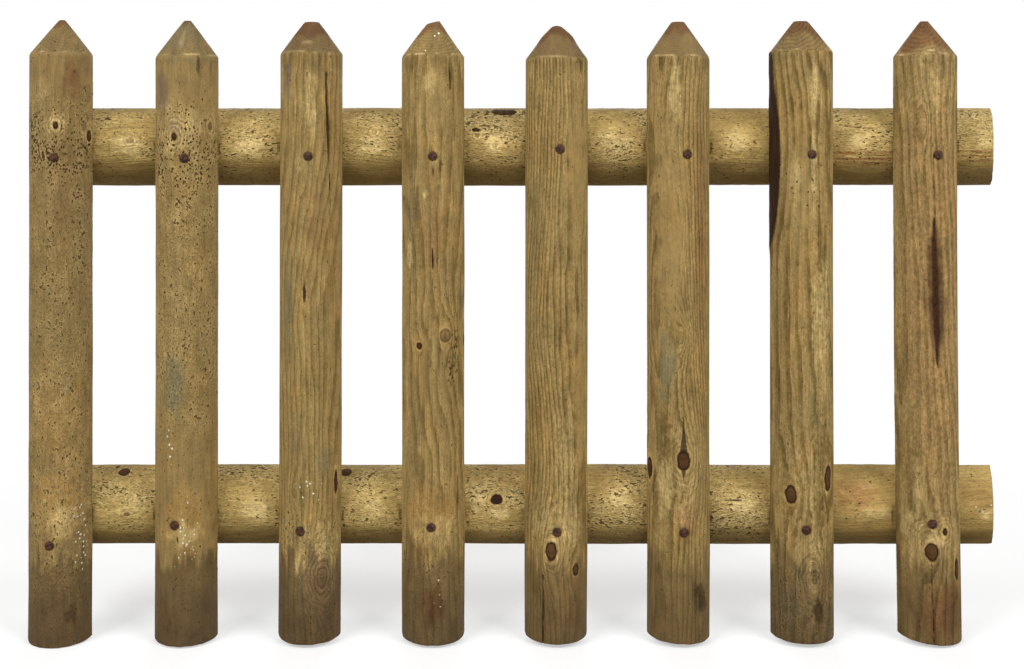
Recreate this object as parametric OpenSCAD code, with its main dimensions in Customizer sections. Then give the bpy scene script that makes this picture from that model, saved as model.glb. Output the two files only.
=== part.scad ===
// Half-round palisade fence panel: eight pointed half-round pales nailed to two half-round rails.
// Millimetres. +X runs along the rails, +Z is up, and the curved faces of the pales look towards -Y.
// The origin lies on the lower rail's flat back, the face that goes against the posts, at mid row.

/* [Pales] */
// Number of upright pales
pale_count = 8; // [8]
// Diameter of the round log that each pale is one half of
pale_d = 98; // [80:1:120]
// Distance between the centres of neighbouring pales
pale_pitch = 193; // [170:1:240]
// Height of a pale from its foot to the shoulder where the point starts
pale_shoulder = 904; // [880:1:1000]
// Height of the conical point above the shoulder
point_h = 56; // [40:1:80]
// Radius of the blunt tip
tip_r = 9; // [5:1:14]

/* [Rails] */
// Diameter of the round log that each rail is one half of
rail_d = 125; // [115:1:150]
// How far the backs of the rails run past the last pale
rail_overhang = 80; // [40:1:120]
// Height of the lower rail's centre above the feet of the pales
lower_rail_h = 186; // [140:1:260]
// Height of the upper rail's centre above the feet of the pales
upper_rail_h = 763; // [640:1:800]
// Depth of the flat seat cut into a rail under each pale
seat_depth = 3; // [1:0.5:6]
// Lean of the saw cut at the right-hand ends, which are longer at the back
end_cut_lean = 20; // [0:1:24]

/* [Nails] */
// Diameter of a nail's flat head
nail_head_d = 12; // [9:0.5:16]
// Thickness of a nail's head
nail_head_t = 2; // [1:0.5:3]
// Diameter of a nail's shank
nail_d = 6; // [4:0.5:6]
// Length of a nail from the top of its head to its point
nail_len = 95; // [80:1:98]

/* [Sawing] */
// Thickness of wood that the saw takes out when a log is split in two
kerf = 4; // [2:0.5:6]

/* [Hidden] */
$fn = 96;
PALES = [for (i = [1:pale_count]) str("pale_", i)];
UPPER_NAILS = [for (i = [1:pale_count]) str("nail_upper_", i)];
LOWER_NAILS = [for (i = [1:pale_count]) str("nail_lower_", i)];

// How each hand-finished pale differs from the nominal one, from left to right, in millimetres
aside = [-3, 1, 2, 1, 1, -1, -1, 0];                // place along the rails
shoulder_extra = [3, -1, 4, 0, -4, -2, 7, 0];       // height of the shoulder
tip_extra_r = [-3.5, -3, 3, 1.5, 0, 1.5, 2.5, -2];  // radius of the blunt tip
top_extra = [2, 1, -1, -2, -7, -1, 0, 0];           // height of the tip
foot_extra = [4, 2, -1, 0, -2, -2, -2, 0];          // length added at the foot

// And in degrees
lean = [0.1, 0.1, 0.2, 0, 0.1, 0, -0.1, -0.4];      // turn about the pale's middle
foot_tilt = [-1, 0, 0, -0.5, -0.5, 1, 0, 3];        // slope of the foot's saw cut

// Where each nail goes: its turn round the pale's log axis, in degrees, and its height from the rail's centre
upper_nail_turn = [3.5, 6.5, 1, 0.5, 2, 7, 5, 5.5];
upper_nail_rise = [-16, -17, -14, -14, -3, -11, -11, -12];
lower_nail_turn = [-3, -10, -11.5, -2.5, -2.5, 1, -6.5, -9.5];
lower_nail_rise = [-33, -2, -11, -5, -12, -13, -9, 0];

pale_r = pale_d / 2;
rail_r = rail_d / 2;
half_kerf = kerf / 2;
half_row = (pale_count - 1) * pale_pitch / 2;
rail_left = -half_row - pale_r;
rail_right = half_row + pale_r + rail_overhang;
rail_len = rail_right - rail_left;
pale_back_y = -(rail_r - half_kerf - seat_depth);
foot_z = -lower_rail_h;
pale_middle_h = (pale_shoulder + point_h) / 2;
seat_w = pale_d + 4;
head_proud = 0.5;
nail_point_h = 9;
nail_point_d = 0.6;

// Where the log axis of pale i, which leans a little, is at height h above the feet
function axis_x(i, h) = i * pale_pitch - half_row + aside[i] + (h - pale_middle_h) * tan(lean[i]);

// Keeps the half of a log on the -Y side of the saw cut, whose face is at y = 0
module front_half(reach) {
    difference() {
        children();
        translate([-reach, 0, -reach]) cube(2 * reach);
    }
}

// One nail, its head's top at the origin and its point towards +Y
module nail() {
    rotate([-90, 0, 0]) {
        cylinder(h = nail_head_t, d = nail_head_d);
        cylinder(h = nail_len - nail_point_h, d = nail_d);
        translate([0, 0, nail_len - nail_point_h])
            cylinder(h = nail_point_h, d1 = nail_d, d2 = nail_point_d);
    }
}

// A nail driven into pale i at height h above the feet, turned round the pale's log axis
module driven_nail(i, h, turn) {
    translate([axis_x(i, h), pale_back_y + half_kerf, foot_z + h])
        rotate([0, 0, turn])
            translate([0, -head_proud - pale_r, 0])
                nail();
}

module upper_nail(i) {
    driven_nail(i, upper_rail_h + upper_nail_rise[i], upper_nail_turn[i]);
}

module lower_nail(i) {
    driven_nail(i, lower_rail_h + lower_nail_rise[i], lower_nail_turn[i]);
}

// The pointed round log that pale i is split from, running past its foot, which is at z = 0
module pointed_log(i) {
    shoulder = pale_shoulder + shoulder_extra[i];
    top = pale_shoulder + point_h + top_extra[i];
    translate([0, 0, -pale_r]) cylinder(h = shoulder + pale_r, r = pale_r);
    translate([0, 0, shoulder]) cylinder(h = top - shoulder, r1 = pale_r, r2 = tip_r + tip_extra_r[i]);
}

// What the sloping saw cut takes off below the foot of pale i
module foot_waste(i) {
    translate([0, 0, -foot_extra[i]])
        rotate([0, foot_tilt[i], 0])
            translate([-pale_d, -pale_d, -pale_d])
                cube([2 * pale_d, 2 * pale_d, pale_d]);
}

// Pale i with its flat back at y = 0 and its foot at z = 0
module loose_pale(i) {
    difference() {
        front_half(2 * pale_shoulder) translate([0, half_kerf, 0]) pointed_log(i);
        foot_waste(i);
    }
}

module pale(i) {
    difference() {
        translate([axis_x(i, pale_middle_h), pale_back_y, foot_z + pale_middle_h])
            rotate([0, lean[i], 0])
                translate([0, 0, -pale_middle_h])
                    loose_pale(i);
        upper_nail(i);
        lower_nail(i);
    }
}

// What is cut out of a rail at height h to make the flat that pale i beds on
module seat_waste(i, h) {
    translate([axis_x(i, h) - seat_w / 2, pale_back_y - rail_d, -rail_r])
        cube([seat_w, rail_d, rail_d]);
}

// What the leaning saw cut takes off past the right-hand end
module end_waste() {
    translate([rail_right, 0, -rail_d])
        rotate([0, 0, -end_cut_lean])
            translate([0, -2 * rail_d, 0])
                cube([rail_d, 4 * rail_d, 2 * rail_d]);
}

// A half-round rail with its flat back on y = 0 and its centre h above the feet
module plain_rail(h) {
    translate([0, 0, foot_z + h]) difference() {
        front_half(rail_len)
            translate([rail_left, half_kerf, 0])
                rotate([0, 90, 0])
                    cylinder(h = rail_len, d = rail_d);
        for (i = [0:pale_count - 1]) seat_waste(i, h);
        end_waste();
    }
}

module rail_upper() {
    difference() {
        plain_rail(upper_rail_h);
        for (i = [0:pale_count - 1]) upper_nail(i);
    }
}

module rail_lower() {
    difference() {
        plain_rail(lower_rail_h);
        for (i = [0:pale_count - 1]) lower_nail(i);
    }
}

color("khaki") rail_upper();
color("khaki") rail_lower();
for (i = [0:pale_count - 1]) {
    color("darkkhaki") pale(i);
    color("saddlebrown") upper_nail(i);
    color("saddlebrown") lower_nail(i);
}
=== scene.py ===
"""Half-round palisade fence panel: peeled rails, pointed pales, rusty nails and a plain stage."""

import math
from collections import namedtuple
from functools import partial

import bmesh
import bpy
import numpy as np
from mathutils import Matrix, Vector


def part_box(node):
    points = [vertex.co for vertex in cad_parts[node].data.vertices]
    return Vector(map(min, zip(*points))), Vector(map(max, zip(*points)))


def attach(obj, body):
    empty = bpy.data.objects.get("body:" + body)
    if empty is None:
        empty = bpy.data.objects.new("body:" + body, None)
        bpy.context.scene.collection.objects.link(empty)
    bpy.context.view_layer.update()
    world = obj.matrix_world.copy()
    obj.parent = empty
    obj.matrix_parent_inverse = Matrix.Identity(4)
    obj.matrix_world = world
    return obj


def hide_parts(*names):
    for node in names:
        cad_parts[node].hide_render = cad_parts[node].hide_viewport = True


bl_info = {
    "name": "Palisade Fence Panel",
    "version": (1, 0, 0),
    "blender": (4, 5, 0),
    "location": "View3D > Sidebar > Fence",
    "description": "Builds the wood, nails and stage of a half-round palisade fence panel",
    "category": "Add Mesh",
}

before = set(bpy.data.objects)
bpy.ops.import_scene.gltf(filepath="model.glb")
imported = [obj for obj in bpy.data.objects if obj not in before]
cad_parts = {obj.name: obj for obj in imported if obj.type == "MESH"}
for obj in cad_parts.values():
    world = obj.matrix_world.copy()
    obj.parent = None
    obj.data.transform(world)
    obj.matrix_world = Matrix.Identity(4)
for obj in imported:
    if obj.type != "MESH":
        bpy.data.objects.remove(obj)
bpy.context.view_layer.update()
MM = 0.001

# ---------------------------------------------------------------- the timber, piece by piece

# All in millimetres and degrees. Places on a piece are measured across its round face from the crown line,
# and up from the foot or along the rail from mid row.
Knot = namedtuple("Knot", "across along half_width half_length dark swell tail_up tail_down", defaults=(0, 0))
Split = namedtuple("Split", "across_start start across_end end width depth")
Mark = namedtuple("Mark", "across along half_width half_length strength")

# A pale stands aside of its nominal place, leans and bows, and its blunt tip has a slope. Its flecks of bark
# reach up to the first height of peeled and are heavy above the second. ring is the width of a growth ring,
# lines how strongly the rings show, and wet_foot and tone how damp the foot and the rest look.
Pale = namedtuple(
    "Pale",
    "aside shoulder top tip foot tilt lean pith ring lines peeled wet_foot point knots splits marks "
    "tone bow slope",
    defaults=(0, 0, 0),
)
# On a pale's point: how strongly the rings show, how far the brown comes down, how much the tip's rim is
# rounded off, how damp it looks and how much it bulges
Point = namedtuple("Point", "lines brown dome damp bulge", defaults=(0,))

PALES = (
    Pale(
        aside=-3, shoulder=907, top=962, tip=5.5, foot=4, tilt=-1, lean=0.1, pith=(7, 5), ring=3.1,
        lines=0.3, peeled=(860, 60), wet_foot=1, tone=0.42,
        point=Point(lines=0.6, brown=0.25, dome=0.6, damp=0.62),
        knots=(Knot(6, 796, 3.5, 4.5, 1, 9), Knot(62, 779, 5, 8, 1, 4, 4, 4), Knot(50, 796, 3, 5, 0.3, 6)),
        splits=(Split(6, 190, 6, 168, 2.2, 2), Split(42, 772, 57, 758, 4.4, 2)),
        marks={
            "whorl": ((6, 797, 18, 22, 0.85), (58, 784, 24, 24, 0.45)),
            "light": ((16, 190, 30, 30, 0.5), (-16, 850, 16, 30, 0.3)),
            "honey": ((10, 215, 50, 70, 1), (6, 350, 60, 110, 0.6)),
            "warm": ((20, 690, 26, 120, 0.4), (34, 870, 22, 34, 0.7)),
            "grey": ((22, 400, 18, 30, 0.5),),
            "mauve": ((-62, 760, 16, 130, 0.8),),
            "green": (
                (-34, 778, 16, 52, 0.8), (-10, 752, 24, 16, 0.7), (46, 650, 6, 26, 0.6),
                (-4, 622, 6, 34, 0.6),
            ),
            "stain": ((28, 42, 14, 24, 0.45), (34, 880, 6, 5, 0.5), (0, 762, 70, 56, 0.2)),
            "bead": ((46, 165, 16, 80, 1.2),),
            "scraps": ((0, 758, 90, 62, 1), (-10, 925, 40, 20, 0.6)),
        },
    ),
    Pale(
        aside=1, shoulder=903, top=961, tip=6, foot=2, tilt=0, lean=0.1, pith=(-9, 4), ring=3, lines=0.3,
        peeled=(830, 330), wet_foot=1, tone=0.28, point=Point(lines=0.5, brown=0, dome=0.6, damp=0.58),
        knots=(Knot(-10, 779, 3.5, 5, 1, 13), Knot(48, 794, 3, 5, 0.5, 9)),
        splits=(Split(-4, 168, -3, 156, 2.6, 2),),
        marks={
            "whorl": ((-9, 786, 33, 40, 0.62), (52, 796, 20, 26, 0.5)),
            "light": ((8, 170, 30, 24, 0.5), (22, 805, 16, 24, 0.35), (-4, 930, 8, 24, 0.35)),
            "honey": ((10, 190, 44, 60, 1),),
            "grey": ((-10, 400, 20, 58, 1), (-6, 950, 120, 70, 0.6)),
            "mauve": ((-10, 790, 15, 18, 1), (-34, 848, 18, 46, 0.85)),
            "green": ((-34, 735, 14, 40, 0.7), (16, 700, 30, 80, 0.2)),
            "stain": ((27, 892, 3.5, 22, 0.55), (50, 885, 3, 16, 0.4)),
            "bead": ((-14, 310, 12, 32, 1), (6, 170, 26, 55, 0.9)),
            "scraps": ((4, 752, 90, 72, 1),),
        },
    ),
    Pale(
        aside=2, shoulder=908, top=959, tip=12, foot=-1, tilt=0, lean=0.2, pith=(16, -2), ring=3.6,
        lines=0.8, peeled=(180, 120), wet_foot=1, tone=0.1,
        point=Point(lines=0.3, brown=0.5, dome=0.8, damp=0.8),
        knots=(
            Knot(-19, 232, 4, 6, 0.3, 4), Knot(52, 244, 3.5, 14, 1, 2, 8, 8),
            Knot(-4, 540, 1.5, 9, 0.8, 1, 6, 6), Knot(25, 104, 7, 13, 0, 19),
        ),
        splits=(Split(28, 894, 34, 730, 4.2, 5), Split(35, 735, 36, 650, 1.6, 2)),
        marks={
            "whorl": ((22, 112, 44, 84, 0.6),),
            "light": ((-12, 735, 13, 18, 0.3), (-2, 925, 12, 5, 0.7), (4, 830, 12, 60, 0.4)),
            "warm": ((14, 640, 24, 90, 0.4), (20, 90, 24, 60, 0.5)),
            "grey": ((-34, 520, 14, 110, 0.7), (30, 280, 22, 40, 0.5)),
            "mauve": ((-36, 868, 9, 42, 1.1), (-17, 314, 14, 30, 0.5)),
            "resin": ((32, 810, 14, 130, 1.3),),
            "bead": ((0, 235, 30, 22, 0.8),),
        },
    ),
    Pale(
        aside=1, shoulder=904, top=958, tip=10.5, foot=0, tilt=-0.5, lean=0, slope=2.5, pith=(-14, -8),
        ring=3.4, lines=0.85, peeled=(150, 110), wet_foot=0.88,
        point=Point(lines=0.6, brown=0.32, dome=0.4, damp=0.47),
        knots=(
            Knot(-21, 458, 4, 4.5, 1, 3), Knot(20, 474, 8.5, 10, 0.45, 6, 6, 6),
            Knot(70, 463, 6, 10, 1, 3, 6, 6),
        ),
        splits=(
            Split(28, 894, 28, 848, 2.8, 3), Split(0, 612, 1, 570, 3.4, 3),
            Split(42, 268, 45, 185, 2.4, 3), Split(1, 735, 2, 715, 2.6, 2),
        ),
        marks={
            "light": (
                (-4, 862, 13, 28, 0.35), (-12, 690, 6, 10, 0.8), (-41, 600, 8, 40, 0.5),
                (0, 178, 50, 30, 0.35),
            ),
            "honey": ((0, 200, 60, 50, 0.8),),
            "warm": ((0, 640, 30, 130, 0.4), (0, 62, 22, 36, 0.9)),
            "grey": ((-36, 640, 16, 130, 0.55), (-30, 330, 18, 110, 0.4)),
            "green": ((38, 440, 20, 70, 0.75), (30, 500, 16, 30, 0.5)),
            "stain": ((12, 735, 4, 22, 0.5), (8, 400, 60, 100, 0.24)),
            "bead": ((8, 80, 8, 40, 0.5), (6, 930, 30, 22, 0.35)),
            "plain": ((0, 850, 18, 60, 0.6),),
        },
    ),
    Pale(
        aside=1, shoulder=900, top=953, tip=9, foot=-2, tilt=-0.5, lean=0.1, pith=(17, -15), ring=2.8,
        lines=1.1, peeled=(0, 0), wet_foot=0.76,
        point=Point(lines=0.3, brown=0.38, bulge=3.5, dome=2.6, damp=0.77),
        knots=(Knot(-11, 145, 8, 14, 0.95, 7, 6, 4), Knot(29, 114, 5, 8, 0.9, 4, 4, 4)),
        splits=(Split(-24, 108, -24, -6, 2, 3),),
        marks={
            "whorl": ((-4, 150, 44, 46, 0.35),),
            "light": ((10, 300, 26, 90, 0.3), (0, 190, 60, 50, 0.3)),
            "warm": ((30, 60, 30, 70, 0.4),),
            "grey": ((-40, 600, 12, 200, 0.4),),
            "stain": ((-34, 100, 14, 90, 0.25),),
            "plain": ((36, 720, 30, 120, 0.9), (44, 400, 26, 170, 0.7)),
        },
    ),
    Pale(
        aside=-1, shoulder=902, top=959, tip=10.5, foot=-2, tilt=1, lean=0, pith=(-17, -13), ring=3.1,
        lines=1.1, peeled=(0, 0), wet_foot=0.76, point=Point(lines=0.3, brown=0.36, dome=0.4, damp=0.64),
        knots=(
            Knot(0, 283, 9, 14, 1, 7, 64, 22), Knot(-62, 265, 8, 15, 1, 4, 8, 8),
            Knot(-4, 478, 5, 8, 0, 11),
        ),
        splits=(Split(-42, 812, -30, 806, 1.4, 1),),
        marks={
            "whorl": ((0, 265, 44, 70, 0.3),),
            "light": ((-14, 850, 12, 60, 0.45), (-30, 240, 20, 60, 0.4), (4, 200, 26, 30, 0.3)),
            "warm": ((30, 640, 16, 260, 0.55), (6, 190, 26, 40, 0.5)),
            "grey": ((-26, 420, 18, 60, 0.8),),
            "stain": ((30, 72, 18, 34, 0.6),),
            "plain": ((-20, 620, 28, 230, 0.9),),
        },
    ),
    Pale(
        aside=-1, shoulder=911, top=960, tip=11.5, foot=-2, tilt=0, lean=-0.1, pith=(-16, 6), ring=4.6,
        lines=1.4, peeled=(110, 0), wet_foot=0.84, point=Point(lines=0.7, brown=0.5, dome=0.4, damp=0.62),
        knots=(
            Knot(-29, 230, 8.5, 13, 0.95, 6, 4, 6), Knot(33, 254, 7, 18, 0.95, 4, 14, 14),
            Knot(7, 101, 7, 12, 0, 15),
        ),
        splits=(Split(3, 222, 2, 190, 1.3, 2),),
        marks={
            "whorl": ((7, 110, 44, 54, 0.4),),
            "light": (
                (8, 850, 8, 60, 0.5), (6, 740, 6, 70, 0.45), (0, 260, 60, 120, 0.22),
                (20, 500, 24, 120, 0.4), (-20, 700, 8, 60, 0.4),
            ),
            "grey": ((-10, 340, 36, 50, 0.4), (-34, 60, 20, 50, 0.5)),
            "stain": ((14, 52, 14, 26, 0.6),),
            "bark": ((-78, 745, 45, 195, 1), (-78, 870, 26, 70, 1)),
            "scraps": ((6, 690, 60, 90, 0.1),),
            "plain": ((-14, 700, 24, 190, 0.7),),
        },
    ),
    Pale(
        aside=0, shoulder=904, top=960, tip=7, foot=0, tilt=3, lean=-0.4, bow=2.5, pith=(-17, -4), ring=4.6,
        lines=1.7, peeled=(0, 0), wet_foot=0.66, point=Point(lines=0.6, brown=0.85, dome=0.4, damp=0.56),
        knots=(
            Knot(-11, 144, 9, 13, 0.95, 8, 0, 4), Knot(10, 174, 3.5, 4.5, 1, 4),
            Knot(34, 113, 4, 14, 1, 3, 8, 8), Knot(-18, 800, 3, 8, 0, 10),
        ),
        splits=(
            Split(-3, 656, 2, 426, 30, 2.5), Split(-4, 770, -2, 650, 2.2, 1),
            Split(-11, 128, -9, 2, 1.3, 1.5),
        ),
        marks={
            "whorl": ((-5, 165, 50, 50, 0.35), (-36, 182, 28, 24, 0.6)),
            "light": (
                (0, 850, 8, 70, 0.5), (-6, 912, 9, 2.2, 1.2), (-2, 160, 20, 16, 0.6),
                (-30, 240, 10, 60, 0.5), (0, 480, 110, 480, 0.28), (0, 850, 60, 120, 0.27),
            ),
            "warm": ((0, 520, 90, 420, 0.5), (10, 50, 60, 60, 0.8)),
            "resin": ((-2, 530, 16, 190, 1.2), (-10, 66, 9, 80, 0.8)),
        },
    ),
)

# A rail's knots are long along the rail, so their width is across it. Its flecks thin out towards fleck_end.
Rail = namedtuple("Rail", "name height pith ring fleck_end knots splits marks")
RAILS = (
    Rail(
        "rail_upper", height=577, pith=(20, 10), ring=1.5, fleck_end=1500,
        knots=(
            Knot(10, -571, 3.2, 3.8, 0.4, 7), Knot(69, 17, 9.5, 19, 1, 4, 4, 4),
            Knot(28, -29, 2.5, 5, 1, 4), Knot(18, -26, 2, 2, 0.3, 4), Knot(24, -188, 3, 3, 0.2, 6),
            Knot(2, 0, 3, 3, 0.2, 6),
        ),
        splits=(Split(36, 540, 30, 600, 1.4, 2),),
        marks={
            "whorl": (
                (10, -571, 17, 16, 0.9), (20, -27, 15, 13, 1), (24, -188, 14, 13, 0.8),
                (2, 0, 15, 14, 0.6),
            ),
            # These light marks, one in the middle of each gap between the pales just above the crown, are
            # painted highlights in cream.
            "light": (
                (4, -578, 20, 28, 0.7), (0, -382, 18, 24, 1), (3, -190, 17, 22, 0.8), (8, 4, 16, 24, 0.8),
                (8, 189, 26, 32, 0.55), (8, 381, 22, 24, 0.6), (11, 575, 18, 20, 0.8),
                (8, 769, 20, 18, 0.7),
            ),
            "warm": (
                (-9, 585, 1.8, 90, 1.1), (-19, 580, 2.4, 90, 1.2), (-27, 590, 2, 90, 1.1),
                (-7, 775, 2, 60, 1.2), (-14, 770, 1.8, 60, 1.2), (-22, 775, 2.2, 60, 1.2),
            ),
            "green": ((-34, 215, 8, 60, 0.45), (-20, -520, 12, 26, 0.5)),
            "stain": ((52, 330, 5, 40, 0.3),),
            "plain": (
                (0, 580, 90, 90, 0.3), (0, 385, 90, 90, 0.35), (0, -190, 90, 90, 0.25),
                (0, -575, 90, 80, 0.35),
            ),
            "lined": (
                (-16, 580, 16, 60, 1), (-4, -575, 60, 80, 0.8), (-14, 770, 18, 60, 1),
                (0, -380, 40, 60, 0.5),
            ),
        },
    ),
    Rail(
        "rail_lower", height=0, pith=(-14, 8), ring=1.8, fleck_end=470,
        knots=(
            Knot(72, -590, 8, 8.5, 1, 4, 4, 4), Knot(72, -236, 8, 8.5, 1, 4, 4, 4),
            Knot(24, 4, 7.5, 8.5, 1, 9), Knot(2, -576, 2.5, 4, 0.5, 4),
        ),
        splits=(Split(24, 350, 23, 392, 2.2, 2),),
        marks={
            "whorl": ((24, 4, 17, 19, 0.9),),
            # These light marks, near the middle of each gap between the pales, are painted highlights in
            # cream.
            "light": (
                (10, -566, 26, 30, 0.5), (8, -375, 22, 28, 0.8), (8, -187, 26, 30, 0.5), (2, 8, 12, 26, 1),
                (30, -28, 26, 14, 0.7), (22, 198, 26, 26, 0.8), (14, 386, 22, 28, 0.9),
                (44, 585, 10, 20, 0.45), (4, 592, 14, 30, 0.5), (2, 772, 12, 12, 0.7),
            ),
            "warm": ((34, 570, 34, 50, 0.7), (26, 770, 40, 60, 0.4)),
            "stain": ((24, 4, 6.5, 7.5, 1.2),),
            "bead": ((5, -300, 60, 330, 0.4), (14, 600, 26, 60, 0.8), (10, 780, 26, 40, 1.2)),
            "scraps": ((0, 290, 90, 170, 0.5),),
            "plain": ((0, -380, 90, 90, 0.45),),
        },
    ),
)

SHOWN_MARKS = (
    "whorl", "light", "honey", "warm", "grey", "mauve", "green", "stain", "resin", "bark", "bead", "scraps"
)
MARKS = SHOWN_MARKS + ("plain", "lined")    # these two fade or bring out the ring lines and the flecks
LAYERS = SHOWN_MARKS + ("ring", "lines", "knot", "heart", "split", "peel", "damp", "sawn")

PALE_BACK = -57.5      # the pales' flat backs, in front of the rails' backs
LOG_SET_BACK = 2       # a log's axis lies this far behind the flat that the saw left
FEET = -186            # nominal feet, below the origin on the lower rail
MIDDLE = 480           # where a leaning pale is turned
END_LEAN = 20          # degrees by which the saw cut at the rails' right-hand ends leans
SEAT_MARGIN = 2        # a seat in a rail is this much wider than its pale, on each side
NAIL_HEAD_THICK = 2    # thickness of the head
NAIL_SHANK = 84        # from under the head to where the point starts
NAIL_POINT = 9         # length of the point
DENT = 0.8             # how deep the hammer pressed the wood round a nail's head
CLEAR_OF_KNOT = 30     # as far from a knot as the layers say
BACK_KNOT_GAP = 200    # one knot for every so many millimetres of a flat back
SMOOTH_ANGLE = 33      # edges sharper than this many degrees stay crisp

# How finely the blanks are cut. Each round of cuts divides every edge along the log.
LOG_SIDES = 192        # all the way round, before the saw
FLAT_CUTS = 24         # across the flat
PALE_ROUNDS = (15, 17)
POINT_CUTS = 21
RAIL_ROUNDS = (17, 20)
NAIL_SIDES = 28

# The stage, in metres
ROOM_LIGHT = 0.45      # strength of the room's light; a room that shows white has 1
LAMPS = (              # name, place, width, height, watts
    ("lamp_left", (-3.3, -3.0, 3.9), 2.6, 1.4, 240),
    ("lamp_right", (3.3, -3.0, 3.9), 2.6, 1.4, 240),
    ("lamp_back", (0, 4.4, 2.0), 3.2, 1.6, 100),
)
LAMP_AIM = (0, 0, 0.3)
FLOOR_SIZE = 60
WHITE_FROM = 0.7       # where the floor starts to turn white, from the middle of the panel
WHITE_AT = 2.2         # and where it is white
CAMERA_PLACE = (-0.05, -1.8865, 0.59)    # near the middle of the row, at the height of the upper rail
CAMERA_LENS = 40.98    # its focal length, in millimetres
CAMERA_SHIFT = (0.0486, -0.1913)


def linear(hex_colour):
    """An sRGB hex colour as the linear values that shaders and colour properties take."""
    values = (int(hex_colour[i:i + 2], 16) / 255 for i in (1, 3, 5))
    return tuple(v / 12.92 if v <= 0.04045 else ((v + 0.055) / 1.055) ** 2.4 for v in values)


def colour_prop(name, description, hex_colour):
    return bpy.props.FloatVectorProperty(
        name=name, description=description, default=linear(hex_colour), subtype="COLOR", size=3, min=0, max=1
    )


def length_prop(name, description, millimetres):
    return bpy.props.FloatProperty(
        name=name, description=description, default=millimetres * MM, unit="LENGTH", subtype="DISTANCE", min=0
    )


class FenceSizes(bpy.types.PropertyGroup):
    """Sizes of the half-round timber and the nails."""

    pale_radius: length_prop("Pale radius", "Radius of the log that a pale is one half of", 49)
    pale_pitch: length_prop("Pale pitch", "Distance between neighbouring pales", 193)
    pale_shoulder: length_prop("Pale shoulder", "Height of the shoulder where the point starts", 904)
    point_height: length_prop("Point height", "Height of the point above the shoulder", 56)
    rail_radius: length_prop("Rail radius", "Radius of the log that a rail is one half of", 62.5)
    rail_left: length_prop("Rail left end", "How far the rails reach left of mid row", 724.5)
    rail_length: length_prop("Rail length", "Length of a rail at its back", 1529)
    nail_radius: length_prop("Nail radius", "Radius of a nail's shank", 3)
    nail_head: length_prop("Nail head radius", "Radius of a nail's head", 6)


class FenceColours(bpy.types.PropertyGroup):
    """Colours of the wood, its blemishes and the nails."""

    pale_early: colour_prop("Pale early wood", "Soft wood between the rings of a pale", "#9D8452")
    pale_late: colour_prop("Pale late wood", "Dark lines of a pale's rings", "#68552C")
    rail_early: colour_prop("Rail early wood", "Soft wood between the rings of a rail", "#B2975A")
    rail_late: colour_prop("Rail late wood", "Dark lines of a rail's rings", "#80642F")
    # Cream is also the colour of the painted highlights in the gaps between the pales on the rails.
    cream: colour_prop("Cream", "Palest wood", "#DBC183")
    honey: colour_prop("Honey", "Warm patches of sapwood", "#A07E47")
    weathered: colour_prop("Weathered", "Grey-green weathered patches", "#7C7453")
    mauve: colour_prop("Mauve", "Mauve-grey patches of old weathering", "#776653")
    warm: colour_prop("Warm", "Tint of pinkish brown heartwood", "#E4CACC")
    fleck: colour_prop("Fleck", "Scraps of inner bark that the peeling left", "#38260A")
    speck: colour_prop("Speck", "Scraps of inner bark on the pales", "#4A3516")
    knot: colour_prop("Knot", "Heart of a knot", "#543820")
    bark: colour_prop("Bark", "Bark, the rims of knots and the insides of splits", "#24160F")
    algae: colour_prop("Algae", "Green-black growth", "#3E4126")
    # On the rails this tint also darkens the ends and the lower part of the round face.
    damp: colour_prop("Damp", "Tint of wood that has drawn up water", "#908BA0")
    resin: colour_prop("Resin", "Dark brown resin in a split", "#412616")
    rust: colour_prop("Rust", "Rust on the nail heads", "#55301F")
    rust_dark: colour_prop("Dark rust", "Dark scale on the nail heads", "#20110C")
    bead: colour_prop("Bead", "Dried drips of the treatment", "#E2DBC0")
    floor: colour_prop("Floor", "Plain pale floor", "#E6E6E6")
    floor_in_light: colour_prop("Floor in light", "The floor as it lights the fence", "#7C7870")


# ---------------------------------------------------------------- mesh work


def pick_edges(piece, wanted):
    """Selects the edges of the mesh in edit mode whose two ends pass the test."""
    bpy.ops.mesh.select_all(action="DESELECT")
    mesh = bmesh.from_edit_mesh(piece.data)
    for edge in mesh.edges:
        edge.select_set(wanted(edge.verts[0].co, edge.verts[1].co))
    mesh.select_flush_mode()
    bmesh.update_edit_mesh(piece.data)


def pick_faces(piece, wanted):
    """Selects the faces of the mesh in edit mode whose normal passes the test."""
    bpy.ops.mesh.select_all(action="DESELECT")
    mesh = bmesh.from_edit_mesh(piece.data)
    for face in mesh.faces:
        face.select_set(wanted(face.normal))
    bmesh.update_edit_mesh(piece.data)


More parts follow.
